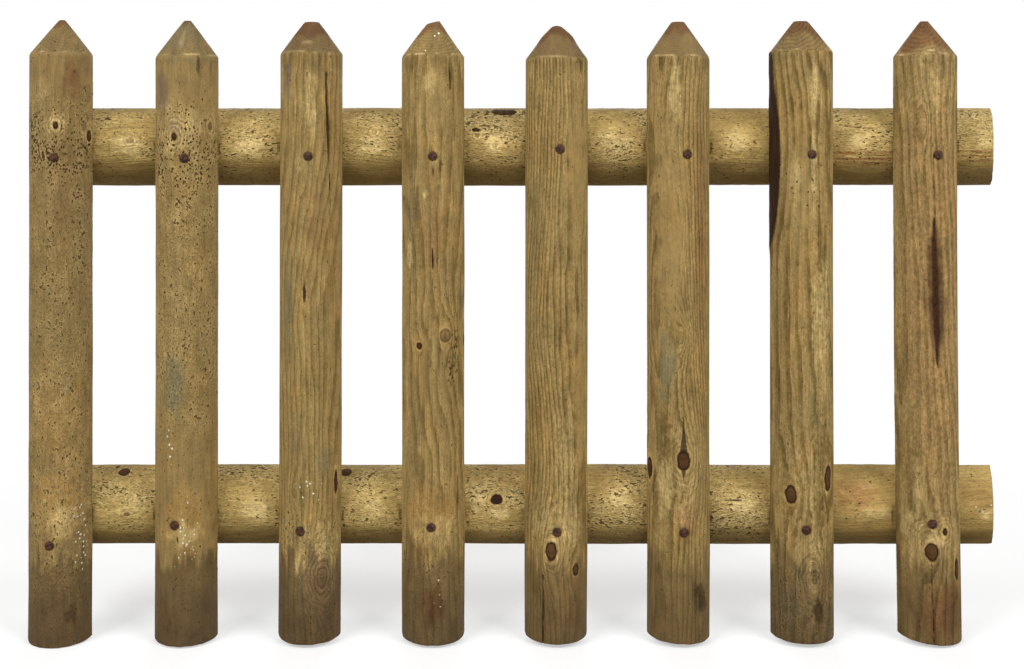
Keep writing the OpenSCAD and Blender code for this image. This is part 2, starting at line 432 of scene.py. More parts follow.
def half_log(name, radius, length, rounds, point=0):
    """A log standing on z = 0, split by the saw, its flat at y = -LOG_SET_BACK and its crown towards -Y.

    The wall is cut in rounds. point is how much higher the part goes that becomes a point.
    """
    flat = -LOG_SET_BACK * MM
    near = 0.02 * MM
    bpy.ops.object.select_all(action="DESELECT")
    bpy.ops.mesh.primitive_cylinder_add(
        vertices=LOG_SIDES, radius=radius, depth=length, end_fill_type="NOTHING", location=(0, 0, length / 2)
    )
    bpy.ops.object.transform_apply(location=True, rotation=True, scale=True)
    piece = bpy.context.object
    piece.name = piece.data.name = name
    bpy.ops.object.mode_set(mode="EDIT")
    bpy.ops.mesh.select_mode(type="EDGE")

    # The point's part, then the cuts of the wall
    if point:
        pick_edges(piece, lambda a, b: min(a.z, b.z) > length - near)
        bpy.ops.mesh.extrude_edges_move(TRANSFORM_OT_translate={"value": (0, 0, point)})
        pick_edges(piece, lambda a, b: abs(a.z - b.z) > near and max(a.z, b.z) > length + near)
        bpy.ops.mesh.subdivide(number_cuts=POINT_CUTS)
    for cuts in rounds:
        pick_edges(piece, lambda a, b: abs(a.z - b.z) > near and max(a.z, b.z) < length + near)
        bpy.ops.mesh.subdivide(number_cuts=cuts)

    # The saw's cut, its flat and the two ends
    bpy.ops.mesh.select_all(action="SELECT")
    bpy.ops.mesh.bisect(plane_co=(0, flat, 0), plane_no=(0, 1, 0), clear_outer=True, threshold=1e-7)
    pick_edges(piece, lambda a, b: max(abs(a.y - flat), abs(b.y - flat)) < near < abs(a.z - b.z))
    bpy.ops.mesh.bridge_edge_loops(number_cuts=FLAT_CUTS - 1, interpolation="LINEAR")
    for end in (0, length + point):
        pick_edges(piece, lambda a, b: max(abs(a.z - end), abs(b.z - end)) < near)
        bpy.ops.mesh.fill_grid(span=FLAT_CUTS, use_interp_simple=True)
    bpy.ops.mesh.select_all(action="SELECT")
    bpy.ops.mesh.normals_make_consistent(inside=False)
    bpy.ops.object.mode_set(mode="OBJECT")
    return piece


def copy_of(piece, name):
    """A copy with its own mesh."""
    twin = piece.copy()
    twin.data = piece.data.copy()
    twin.name = twin.data.name = name
    bpy.context.scene.collection.objects.link(twin)
    return twin


def points_of(mesh):
    """The mesh's points in millimetres, one row each."""
    flat = np.empty(len(mesh.vertices) * 3)
    mesh.vertices.foreach_get("co", flat)
    return flat.reshape(-1, 3) / MM


def normals_of(mesh):
    flat = np.empty(len(mesh.vertices) * 3)
    mesh.vertex_normals.foreach_get("vector", flat)
    return flat.reshape(-1, 3)


def put_points(mesh, points):
    mesh.vertices.foreach_set("co", (points * MM).ravel())
    mesh.update()


def faces_of(x, y, radius):
    """Which points of a blank are on its flat back, and which on its round face."""
    back = np.abs(y + LOG_SET_BACK) < 0.02
    return back, ~back & (np.hypot(x, y) > radius - 0.05)


def hashed(x, y, z, seed):
    """A repeatable value from 0 to 1 for every whole-numbered place."""
    mixed = (x * 73856093) ^ (y * 19349663) ^ (z * 83492791) ^ (seed * 2654435761)
    mixed = (mixed ^ (mixed >> 13)) * 1274126177 & 0xFFFFFFFF
    mixed = (mixed ^ (mixed >> 16)) * 2246822519 & 0xFFFFFFFF
    return (mixed ^ (mixed >> 15) & 0xFFFF) / 4294967296.0


def drift(x, y, z, seed):
    """Smooth random values between -1 and 1 that change over about one unit of x, y or z."""
    x, y, z = (np.asarray(v, float) + np.zeros(np.broadcast(x, y, z).shape) for v in (x, y, z))
    cells = [np.floor(v).astype(np.int64) for v in (x, y, z)]
    parts = [v - c for v, c in zip((x, y, z), cells)]
    parts = [p * p * (3 - 2 * p) for p in parts]
    total = 0
    for i in (0, 1):
        for j in (0, 1):
            for k in (0, 1):
                weight = 1
                for part, step in zip(parts, (i, j, k)):
                    weight = weight * (part if step else 1 - part)
                total = total + weight * hashed(cells[0] + i, cells[1] + j, cells[2] + k, seed)
    return total * 2 - 1


def smooth(low, high, value):
    """0 below low, 1 above high and an even S between."""
    t = np.clip((value - low) / (high - low), 0, 1)
    return t * t * (3 - 2 * t)


# ---------------------------------------------------------------- the wood's figure


class Figure:
    """What grows in one half log: rings, knots, splits and marks, worked out at each point of its mesh.

    x and y are measured from the log's axis, across and along are places on the surface, all in millimetres.
    back and rounded say which points are on the flat and on the round face.
    """

    def __init__(self, x, y, across, along, back, rounded, radius, seed):
        self.x, self.y, self.across, self.along = x, y, across, along
        self.back, self.rounded, self.radius, self.seed = back, rounded, radius, seed
        self.front, self.behind = np.where(rounded, 1.0, 0.0), np.where(back, 1.0, 0.0)
        self.out = np.hypot(x, y)
        none = np.zeros(len(across))
        self.turned_across = across.copy()
        self.knot = none + CLEAR_OF_KNOT
        self.heart, self.swell, self.lift, self.split = (none.copy() for _ in range(4))
        self.layers = {kind: none.copy() for kind in MARKS}

    def noise(self, across, along, number):
        """Smooth random values that change over so many millimetres across and along."""
        return drift(self.across / across, self.along / along, 0, self.seed + number)

    def grow(self, timber, low, length, back_half):
        """Grows the knots, splits and marks of a timber on its round face, and random knots on its flat back.

        The back starts at low, is length long and reaches back_half to each side.
        """
        for knot in timber.knots:
            self.add_knot(knot, self.front)
        draw = np.random.default_rng(self.seed)
        for _ in range(int(length / BACK_KNOT_GAP)):
            across, along = draw.uniform(-back_half, back_half), draw.uniform(0.08, 0.92) * length
            half_width, half_length, dark = draw.uniform(3, 7), draw.uniform(5, 12), draw.uniform(0.5, 1)
            self.add_knot(Knot(across, along + low, half_width, half_length, dark, 3, 8, 8), self.behind)
        for split in timber.splits:
            self.add_split(split)
        for kind, marks in timber.marks.items():
            for mark in marks:
                self.add_mark(kind, Mark(*mark))

    def add_knot(self, knot, face):
        """Parts the grain around a knot and raises the wood beside it."""
        beside = self.across - knot.across
        above = self.along - knot.along
        wobble = 1 + 0.1 * self.noise(7, 7, 5)
        size = np.hypot(beside / knot.half_width, above / knot.half_length) * wobble
        flow = np.hypot(beside / knot.half_width, above / (knot.half_length * 1.7)) * wobble
        part = np.where(flow > 1, 1 - 1 / np.maximum(flow, 1) ** 2, 0)
        near = face * np.exp(-(above / (9 * knot.half_length)) ** 2)
        self.turned_across = self.turned_across - near * beside * (1 - part)
        self.swell += face * knot.swell * np.exp(-(flow / 2.6) ** 2)
        edge = (size - 1) * knot.half_width
        edge = np.where(face > 0.5, edge, CLEAR_OF_KNOT)
        closer = edge < self.knot
        self.knot = np.where(closer, edge, self.knot)
        self.heart = np.where(closer, knot.dark, self.heart)
        reach = knot.half_length + np.where(above > 0, knot.tail_up, knot.tail_down)
        taper = np.clip(1 - np.abs(above) / np.maximum(reach, 1), 0, 1) ** 1.3
        tail = smooth(-0.5, 1.5, knot.half_width * 0.9 * taper - np.abs(beside)) * (taper > 0)
        self.darken(0.8 * knot.dark * tail * face * (edge > 0.5))
        boss = 0.09 * knot.half_width * np.exp(-(size / 2.2) ** 2)
        groove = 0.5 * np.exp(-edge ** 2 / 2)
        self.lift += face * (boss - groove)

    def darken(self, stain):
        self.layers["stain"] = np.maximum(self.layers["stain"], stain)

    def add_split(self, split):
        """Opens a drying split that wanders along the grain."""
        run = np.clip((self.along - split.start) / (split.end - split.start), 0, 1)
        inside = (self.along - split.start) * (self.along - split.end) < 0
        wander = 0.8 * drift(self.along / 22, 0, 0, self.seed + 11)
        wander = wander + 0.4 * drift(self.along / 8, 3, 0, self.seed + 12)
        line = split.across_start + (split.across_end - split.across_start) * run + wander
        uneven = 1 + 0.3 * drift(self.along / 15, 7, 0, self.seed + 13)
        half_width = np.maximum(split.width * np.sin(math.pi * run) ** 0.85 * uneven / 2, 0.2)
        gap = np.clip(1.25 - np.abs(self.across - line) / half_width, 0, 1) * inside * self.front
        self.split = np.maximum(self.split, gap)
        self.lift -= split.depth * gap

    def add_mark(self, kind, mark):
        """Spreads a stain or a growth with a ragged edge."""
        beside, above = self.across - mark.across, self.along - mark.along
        size = np.hypot(beside / mark.half_width, above / mark.half_length)
        if kind != "bark":
            size = size + 0.35 * self.noise(6, 14, 17)
        layer = mark.strength * smooth(1.2, 0.3, size) * self.front
        self.layers[kind] = np.maximum(self.layers[kind], layer)

    def rings(self, pith):
        """Distance from the pith, which wanders up the log, with the swelling round knots taken off."""
        where = self.along / 260
        pith_x = pith[0] + 7 * drift(where, 0, 0, self.seed + 21)
        pith_y = pith[1] + 7 * drift(where, 9, 0, self.seed + 22)
        turn = (self.turned_across - self.across) / np.maximum(self.radius, 1)
        turned_x = self.x * np.cos(turn) - self.y * np.sin(turn)
        turned_y = self.x * np.sin(turn) + self.y * np.cos(turn)
        far = np.hypot(turned_x - pith_x, turned_y - pith_y)
        wave = 1.3 * drift(self.turned_across / 24, self.along / 170, self.out / 24, self.seed + 23)
        wave = wave + 0.9 * drift(self.turned_across / 15, self.along / 55, self.out / 15, self.seed + 24)
        return far + wave + 0.006 * self.along - self.swell


# ---------------------------------------------------------------- materials


def add_node(tree, kind, inputs=(), output=0, **settings):
    """Adds a node with its settings and returns one of its outputs, or those that a tuple names.

    inputs, by name or in order, are values or other nodes' outputs.
    """
    node = tree.nodes.new("ShaderNode" + kind)
    for name, value in settings.items():
        setattr(node, name, value)
    for name, value in inputs.items() if isinstance(inputs, dict) else enumerate(inputs):
        if isinstance(value, bpy.types.NodeSocket):
            tree.links.new(value, node.inputs[name])
        else:
            node.inputs[name].default_value = value
    if isinstance(output, tuple):
        return [node.outputs[name] for name in output]
    return node.outputs[output]


# Settings that many nodes share. A map range's inputs are the value, then from low, high, to low, high.
S_CURVE = {"interpolation_type": "SMOOTHSTEP"}
TIMES = {"operation": "MULTIPLY"}
TIMES_PLUS = {"operation": "MULTIPLY_ADD"}
IN_COLOUR = {"data_type": "RGBA", "output": 2}
FACTOR, COLOUR_A, COLOUR_B = 0, 6, 7


def seen(add):
    """1 where a surface shows to the camera, straight or in something shiny, and 0 where it only lights."""
    camera, *shiny = add("LightPath", output=("Is Camera Ray", "Is Glossy Ray", "Is Transmission Ray"))
    return add("Math", (camera, add("Math", shiny)), use_clamp=True)


def new_material(name):
    """An empty material and the function that adds nodes to it."""
    material = bpy.data.materials.new(name)
    material.use_nodes = True
    material.node_tree.nodes.clear()
    return material, partial(add_node, material.node_tree)


def wood_noise(add, fibre, chip_size):
    """Noise over sizes in millimetres across and along the fibres, as (across, along, detail, roughness)."""
    noise = {}
    for key, across, along, detail, rough in (
        ("wave", 16, 150, 2, 0.5), ("band", 7, 90, 2, 0.5), ("patch", 42, 120, 3, 0.55),
        ("cluster", 26, 40, 2, 0.6), ("streak", 1.8, 50, 4, 0.65), ("mottle", 4.5, 8, 4, 0.65),
        ("fine", 0.8, 5, 3, 0.7), ("grit", 1.6, 2.0, 3, 0.6), ("chip", *chip_size, 0.55),
    ):
        scaled = add("VectorMath", (fibre, (1 / across, 1 / across, 1 / along)), **TIMES)
        noise[key] = add("TexNoise", {"Vector": scaled, "Scale": 1, "Detail": detail, "Roughness": rough})
    return noise


def late_wood(add, layer, noise):
    """How much of late wood shows: the rings, bent and frayed, darken into it slowly and end sharply."""
    ring = layer["ring"]
    for key, reach in (("wave", 0.9), ("band", 0.5), ("streak", 0.3)):
        ring = add("Math", (noise[key], reach, ring), **TIMES_PLUS)
    cycle = add("Math", (ring,), operation="FRACT")
    share = layer["lines"]
    for ranges in (
        (cycle, 0.35, 0.9), (cycle, 1.0, 0.92), (noise["patch"], 0.35, 0.6, 0.55, 1),
        (noise["fine"], 0.3, 0.6, 0.7, 1.1),
    ):
        share = add("Math", (share, add("MapRange", ranges, **S_CURVE)), use_clamp=True, **TIMES)
    return share


def bark_scraps(add, layer, noise, coarse):
    """Scraps of inner bark, thick where the wood is peeled and clusters are dense, and none round a whorl.

    Also returns the pale fringe of torn wood round them and how likely a round speck is.
    """
    bare = add("Math", (layer["whorl"], -0.85, 1.0), **TIMES_PLUS)
    dense = add("Math", (add("MapRange", (noise["cluster"], 0.36, 0.64, 0.5, 1.1)), layer["peel"]), **TIMES)
    dense = add("Math", (layer["green"], 0.7, dense), **TIMES_PLUS)
    dense = add("Math", (dense, bare), **TIMES)
    chips = add("Math", (dense, 0.17, noise["chip"]), **TIMES_PLUS)
    grit = add("Math", (dense, 0.14 * coarse ** 2, noise["grit"]), **TIMES_PLUS)
    chips_shown = add("MapRange", (chips, 0.67, 0.77, 0, 0.9), **S_CURVE)
    grit_shown = add("MapRange", (grit, 0.68, 0.78, 0, 0.75), **S_CURVE)
    fringe = add("MapRange", (chips, 0.54, 0.64, 0, 0.7), **S_CURVE)
    for share in (dense, layer["peel"]):
        fringe = add("Math", (fringe, share), **TIMES)
    speckled = add("MapRange", (noise["cluster"], 0.4, 0.6, 0.15, 1.2))
    for share in (layer["scraps"], bare):
        speckled = add("Math", (speckled, share), **TIMES)
    return add("Math", (chips_shown, grit_shown), operation="MAXIMUM"), fringe, speckled


def round_spots(add, fibre, grit, beaded, speckled):
    """Beads of dried drips and round specks of inner bark, each in a cell of a loose grid drawn by chance."""
    spots = []
    # How likely a spot is, cells to the millimetre, where it fades out and is full, and how bent it is
    for likely, cells, fades, full, bend in (
        (beaded, (0.17, 0.17, 0.15), 0.32, 0.2, 0), (speckled, (0.26, 0.26, 0.2), 0.42, 0.26, 0.9),
    ):
        bent = add("Math", (grit, bend), **TIMES)
        place = add("VectorMath", (fibre, cells, bent), **TIMES_PLUS)
        colour, distance = add("TexVoronoi", {"Vector": place, "Scale": 1}, output=("Color", "Distance"))
        chance = add("SeparateColor", (colour,), output=1)
        drawn = add("Math", (chance, add("Math", (likely, 0.5), **TIMES)), operation="LESS_THAN")
        spots.append(add("Math", (drawn, add("MapRange", (distance, fades, full), **S_CURVE)), **TIMES))
    return spots


def ragged_masks(add, layer, noise):
    """Marks with ragged edges: noise is added to each layer and the sum is cut between two levels."""
    ragged = {}
    for key, source, texture, share, low, high, most in (
        ("patch", noise["patch"], noise["cluster"], 0.3, 0.58, 0.85, 0.4),
        ("honey", layer["honey"], noise["mottle"], 0.6, 0.4, 1.2, 0.75),
        ("warm", layer["warm"], noise["mottle"], 0.5, 0.25, 1.2, 0.9),
        ("grey", layer["grey"], noise["mottle"], 0.8, 0.5, 1.3, 0.85),
        ("mauve", layer["mauve"], noise["mottle"], 1.1, 0.5, 1.7, 0.8),
        # light: pale wood on the pales, and painted highlights on the rails
        ("light", layer["light"], noise["mottle"], 0.6, 0.3, 1.35, 0.95),
        ("damp", layer["damp"], noise["mottle"], 0.5, 0.25, 1.3, 0.9),
        ("green", layer["green"], noise["chip"], 1.6, 1.4, 1.8, 0.85),
        ("stain", layer["stain"], noise["mottle"], 0.8, 0.5, 1.2, 0.85),
        ("bark", layer["bark"], noise["fine"], 0.2, 0.55, 0.68, 0.97),
    ):
        mixed = add("Math", (texture, share, source), **TIMES_PLUS)
        ragged[key] = add("MapRange", (mixed, low, high, 0, most), **S_CURVE)
    return ragged


def knot_zones(add, layer, mottle):
    """A knot's heart, its rim of bark, the pale wood round it and a warm halo.

    Each is a band of the distance to the knot's edge, which wavers, as (from, full from, full to, to).
    """
    from_edge = add("Math", (add("Math", (mottle, -0.5)), 5.0, layer["knot"]), **TIMES_PLUS)
    zones = []
    for start, full, fades, ends in (
        (0.6, -0.4, -99, -99.5), (-2, -0.6, 0.5, 1.4), (1, 1.9, 2.8, 4.5), (0.5, 1.5, 2, 8),
    ):
        band = layer["heart"]
        for low, high in ((start, full), (ends, fades)):
            band = add("Math", (band, add("MapRange", (from_edge, low, high), **S_CURVE)), **TIMES)
        zones.append(band)
    heart, rim, pale, halo = zones
    rim = add("Math", (add("Math", (mottle, 1.7), use_clamp=True, **TIMES), rim), **TIMES)
    pale = add("Math", (add("Math", (pale, 0.3), **TIMES), mottle), **TIMES)
    return heart, rim, pale, add("Math", (halo, 0.5), **TIMES)


def whorl_rings(add, layer, mottle):
    """Pale and dark rings round a knot that the peeling has laid bare."""
    ripple = add("Math", (add("Math", (mottle, 5.5, layer["knot"]), **TIMES_PLUS), 1.2), **TIMES)
    ripple = add("Math", (ripple,), operation="SINE")
    return [
        add("Math", (layer["whorl"], add("MapRange", (ripple, *ranges), **S_CURVE)), **TIMES)
        for ranges in ((-0.4, 0.9, 0.3, 0.75), (-0.2, -0.9, 0, 0.35))
    ]


def wood_shades(add, layer, noise, coarse):
    """How much lighter or darker each place of the clear wood and of the knots is."""
    knot_ring = add("Math", (add("Math", (noise["mottle"], 3.0, layer["knot"]), **TIMES_PLUS), 3.2), **TIMES)
    knot_ring = add("Math", (knot_ring,), operation="SINE")
    lined = add("MapRange", (layer["lines"], 0, 1, 0.15, 1))
    grain = add("Math", (layer["peel"], layer["lines"]), operation="MAXIMUM", use_clamp=True)
    grain = add("MapRange", (grain, 0, 1, 0.35 * coarse, coarse))
    calm = add("MapRange", (layer["warm"], 0, 1, 1, 0))
    frayed = add("Math", (lined, calm), **TIMES)
    shades = []
    for chain in (    # (texture, its low, its high, darkest, lightest, share)
        ((noise["streak"], 0.3, 0.7, 0.7, 1.28, frayed), (noise["band"], 0.3, 0.7, 0.84, 1.14, lined),
         (noise["mottle"], 0.3, 0.7, 0.66, 1.3, grain), (noise["fine"], 0.3, 0.7, 0.8, 1.18, grain),
         (noise["grit"], 0.3, 0.7, 0.72, 1.24, grain), (noise["cluster"], 0.3, 0.7, 0.84, 1.14, 1.0)),
        ((knot_ring, -1, 1, 0.62, 1.1, 1.0), (noise["mottle"], 0.3, 0.7, 0.55, 1.35, 1.0)),
    ):
        shade = 1.0
        for source, low, high, darkest, lightest, share in chain:
            change = add("MapRange", (source, low, high, darkest - 1, lightest - 1))
            shade = add("Math", (add("Math", (change, share, 1.0), **TIMES_PLUS), shade), **TIMES)
        shades.append(shade)
    return shades


def softwood(name, colours, early, late, scrap, chip_size, coarse):
    """Pressure-treated softwood, its figure read from the layers that each piece carries, with noise on top.

    Early wood is pale and soft, late wood shows as thin darker lines, and the fibres are fine streaks along
    both. scrap is the colour of the scraps of inner bark that peeling leaves, and chip_size how far they go
    across and along, in millimetres, and how ragged they are. coarse is how strongly the grain shows.
    """
    material, add = new_material(name)
    layer = {key: add("Attribute", output="Fac", attribute_name=key) for key in LAYERS}
    fibre = add("Attribute", output="Vector", attribute_name="fibre")
    noise = wood_noise(add, fibre, chip_size)
    late_share = late_wood(add, layer, noise)
    fleck, fringe, speckled = bark_scraps(add, layer, noise, coarse)
    bead, speck = round_spots(add, fibre, noise["grit"], layer["bead"], speckled)
    ragged = ragged_masks(add, layer, noise)
    heart, rim, pale, halo = knot_zones(add, layer, noise["mottle"])
    pale_ring, dark_ring = whorl_rings(add, layer, noise["mottle"])
    wood_shade, knot_shade = wood_shades(add, layer, noise, coarse)

    resin = add("MapRange", (noise["mottle"], 0.36, 0.56))
    resin = add("Math", (resin, layer["resin"]), use_clamp=True, **TIMES)
    bark_and_resin = {COLOUR_A: (*colours.bark, 1), COLOUR_B: (*colours.resin, 1)}
    split_colour = add("Mix", {FACTOR: resin, **bark_and_resin}, **IN_COLOUR)
    inner_bark = add("MapRange", (noise["streak"], 0.45, 0.7))
    bark_colour = add("Mix", {FACTOR: inner_bark, **bark_and_resin}, **IN_COLOUR)
    knot_colour = add("VectorMath", {0: colours.knot, "Scale": knot_shade}, operation="SCALE")

    surface = (*early, 1)
    # The light mask mixes in cream: pale wood, and on the rails painted highlights.
    for amount, colour in (
        (late_share, late), (ragged["patch"], colours.honey), (ragged["honey"], colours.honey),
        (ragged["grey"], colours.weathered), (ragged["mauve"], colours.mauve), (halo, colours.honey),
        (fringe, colours.cream), (ragged["light"], colours.cream), (pale, colours.cream),
        (pale_ring, colours.cream), (dark_ring, colours.knot),
    ):
        surface = add("Mix", {FACTOR: amount, COLOUR_A: surface, COLOUR_B: (*colour, 1)}, **IN_COLOUR)
    for amount, tint in ((ragged["warm"], colours.warm), (ragged["damp"], colours.damp)):
        tinted = {FACTOR: amount, COLOUR_A: surface, COLOUR_B: (*tint, 1)}
        surface = add("Mix", tinted, blend_type="MULTIPLY", **IN_COLOUR)
    surface = add("VectorMath", {0: surface, "Scale": wood_shade}, operation="SCALE")
    for amount, colour in (
        (ragged["green"], (*colours.algae, 1)), (heart, knot_colour), (ragged["stain"], (*colours.bark, 1)),
        (rim, (*colours.bark, 1)), (fleck, (*scrap, 1)), (ragged["bark"], bark_colour),
        (speck, (*colours.fleck, 1)), (bead, (*colours.bead, 1)), (layer["split"], split_colour),
    ):
        surface = add("Mix", {FACTOR: amount, COLOUR_A: surface, COLOUR_B: colour}, **IN_COLOUR)

    # Relief in millimetres: (texture, height)
    peeled = add("Math", (layer["peel"], noise["chip"]), **TIMES)
    sawn = add("Math", (layer["sawn"], noise["grit"]), **TIMES)
    height = 0.0
    for texture, size in (
        (late_share, 0.2), (noise["streak"], 0.5), (noise["fine"], 0.25), (noise["mottle"], 0.9),
        (peeled, 3.0), (fleck, -0.7), (speck, -0.6), (bead, 0.8), (sawn, 0.6), (rim, -0.4), (pale_ring, 0.5),
    ):
        height = add("Math", (texture, size, height), **TIMES_PLUS)
    bump = add("Bump", {"Height": height, "Distance": MM, "Strength": 1.0})
    rough = add("MapRange", (noise["patch"], 0.3, 0.7, 0.64, 0.8))
    rough = add("Math", (bead, -0.45, rough), **TIMES_PLUS)
    shader = add("BsdfPrincipled", {
        "Base Color": surface, "Roughness": rough, "Normal": bump, "IOR": 1.45, "Specular IOR Level": 0.1
    })
    add("OutputMaterial", {"Surface": shader}, output=())
    return material


def rusty_steel(colours):
    """Rusted mild steel: dull maroon scale, blotched darker and pitted, with a little bare metal's sheen."""
    material, add = new_material("mild steel, rusted")
    place = add("TexCoord", output="Object")
    blotch = add("TexNoise", {"Vector": place, "Scale": 260, "Detail": 4})
    grit = add("TexNoise", {"Vector": place, "Scale": 1500, "Detail": 3})
    amount = add("MapRange", (blotch, 0.4, 0.62), **S_CURVE)
    rust = add(
        "Mix", {FACTOR: amount, COLOUR_A: (*colours.rust_dark, 1), COLOUR_B: (*colours.rust, 1)}, **IN_COLOUR
    )
    relief = add("Math", (blotch, 1.5, grit), **TIMES_PLUS)
    bump = add("Bump", {"Height": relief, "Distance": 0.3 * MM, "Strength": 1.0})
    shader = add("BsdfPrincipled", {
        "Base Color": rust, "Roughness": 0.7, "Metallic": 0.1, "Specular IOR Level": 0.3, "Normal": bump
    })
    add("OutputMaterial", {"Surface": shader}, output=())
    return material


# ---------------------------------------------------------------- pieces


def nail_line(node):
    """Where the top of a nail's head is and which way the nail points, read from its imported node."""
    points = np.unique(points_of(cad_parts[node].data).round(2), axis=0)
    tip = points[points[:, 1].argmax()]
    far = np.linalg.norm(points - tip, axis=1)
    head = points[far > far.max() - 0.3].mean(axis=0)
    return head, (tip - head) / np.linalg.norm(tip - head)


def nail_dent(points, nails):
    """How deep the hammer pressed the wood round each nail's head, and a dark ring round the head that is
    partly stain and partly painted shade where the head meets the wood.
    """
    dent, dark = np.zeros(len(points)), np.zeros(len(points))
    for node in nails:
        head, way = nail_line(node)
        from_head = points - head
        beside = np.linalg.norm(from_head - np.outer(from_head @ way, way), axis=1)
        near = np.linalg.norm(from_head, axis=1) < 30
        dent += near * smooth(11, 6, beside) * DENT
        # The dark ring just outside the head is partly stain and partly painted shade.
        dark = np.maximum(dark, near * smooth(9.5, 6, beside) * 0.8)
    return dent, dark


def sharp_edges(figure, z, edge, levels):
    """Which points are on the long edges of the flat, edge from its middle, or on rims at these levels."""
    arris = figure.back & (np.abs(np.abs(figure.x) - edge) < 0.1)
    rims = figure.rounded & (np.abs(z[:, None] - levels) < 0.5).any(axis=1)
    return arris | rims


def saw_marks(figure):
    """The relief that the saw left on a flat back, one tooth mark every 8 mm."""
    teeth = np.sin((figure.along + 0.25 * figure.x) * 2 * math.pi / 8)
    return 0.12 * teeth + 0.15 * drift(figure.x / 18, figure.along / 60, 0, figure.seed + 35)


def dress(piece, figure, points, lift, layers, fibre_start):
    """Gives a half log its relief and the layers that its material reads."""
    mesh = piece.data
    put_points(mesh, points)
    put_points(mesh, points + normals_of(mesh) * lift[:, None])
    turned = figure.turned_across + 3.5 * figure.noise(30, 75, 15)
    fibre = np.stack([turned, figure.out, figure.along], axis=1) + fibre_start
    values = {"knot": figure.knot, "heart": figure.heart, "split": figure.split, "sawn": figure.behind}
    values.update(figure.layers)
    values.update(layers)
    for name in LAYERS:
        numbers = values[name].astype(np.float32)
        mesh.attributes.new(name, "FLOAT", "POINT").data.foreach_set("value", numbers)
    numbers = fibre.ravel().astype(np.float32)
    mesh.attributes.new("fibre", "FLOAT_VECTOR", "POINT").data.foreach_set("vector", numbers)


def finish_piece(context, piece, material, node):
    bpy.ops.object.select_all(action="DESELECT")
    piece.select_set(True)
    context.view_layer.objects.active = piece
    piece.data.materials.clear()
    piece.data.materials.append(material)
    bpy.ops.object.shade_smooth_by_angle(angle=math.radians(SMOOTH_ANGLE))
    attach(piece, "root")
    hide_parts(node)


def row_places(sizes):
    """Where the log axis of each pale is along the row, in millimetres, at the height where it is turned."""
    pitch = sizes.pale_pitch / MM
    return [(number - (len(PALES) - 1) / 2) * pitch + pale.aside for number, pale in enumerate(PALES)]


def pale_outline(x, y, z, rounded, pale, sizes):
    """Where a blank's points go on one pale, its log axis at x = y = 0 and its nominal foot at height 0.

    Also returns how far up the point they are, from 0 to 1, and how far out the flat's edge is.
    """
    radius, flat = sizes.pale_radius / MM, -LOG_SET_BACK
    shoulder, point = sizes.pale_shoulder / MM, sizes.point_height / MM
    foot = -pale.foot - x * math.tan(math.radians(pale.tilt))
    up_point = np.clip((z - shoulder) / point, 0, 1)
    height = np.where(
        z <= shoulder, foot + z / shoulder * (pale.shoulder - foot),
        pale.shoulder + up_point * (pale.top - pale.shoulder),
    )
    height = height + pale.slope * x / radius * up_point ** 3
    on_tip = (z > shoulder + point - 0.01) & ~rounded
    inner = np.where(on_tip, np.minimum(np.hypot(x, y) / radius, 1) ** 2, 1)
    height = height - pale.point.dome * smooth(0.6, 1, up_point) * inner

    # Every section of the point stays the part of a circle that is in front of the flat
    angle = np.arctan2(x, -y)
    out = radius + up_point * (pale.tip - radius)
    side = 0.4 + 0.6 * smooth(-0.5, 0.7, np.sin(angle))
    out = out + pale.point.bulge * np.exp(-((up_point - 0.72) / 0.25) ** 2) * (up_point > 0) * side * rounded
    edge = np.sqrt(out ** 2 - flat ** 2)
    full = math.sqrt(radius ** 2 - flat ** 2)
    turned = angle * np.arccos(-flat / out) / math.acos(-flat / radius)
    new_x = np.where(rounded, out * np.sin(turned), x * edge / full)
    new_y = np.where(rounded, -out * np.cos(turned), flat + (y - flat) * (out + flat) / (radius + flat))
    return new_x, new_y, height, up_point, edge


def peel_of_pale(figure, pale):
    """How much the flecks of inner bark show, up to a ragged height."""
    top, heavy_from = pale.peeled
    ragged = figure.along + 30 * figure.noise(25, 60, 0)
    heavy = smooth(heavy_from - 60, heavy_from + 60, ragged)
    peel = smooth(top + 25, top - 25, ragged) * (0.22 + 0.4 * heavy)
    return np.maximum(peel, 0.45 * figure.layers["scraps"])


def relief_of_pale(figure, edges, peel, dent):
    """Worn edges, the swell of the drying wood, the saw's marks and the thickness of the bark."""
    wear = np.where(edges, 0.6 + 0.35 * figure.noise(9, 11, 31), 0)
    swell = 0.55 * figure.noise(38, 150, 32)
    swell = swell + 0.22 * figure.noise(10, 70, 33)
    swell = swell + 0.35 * peel * figure.noise(9, 26, 34)
    lift = figure.lift + np.where(figure.back, saw_marks(figure), figure.front * (swell - dent)) - wear
    thick = 1.3 + 0.5 * figure.noise(5, 16, 42)
    return lift + thick * smooth(0.35, 0.6, figure.layers["bark"])


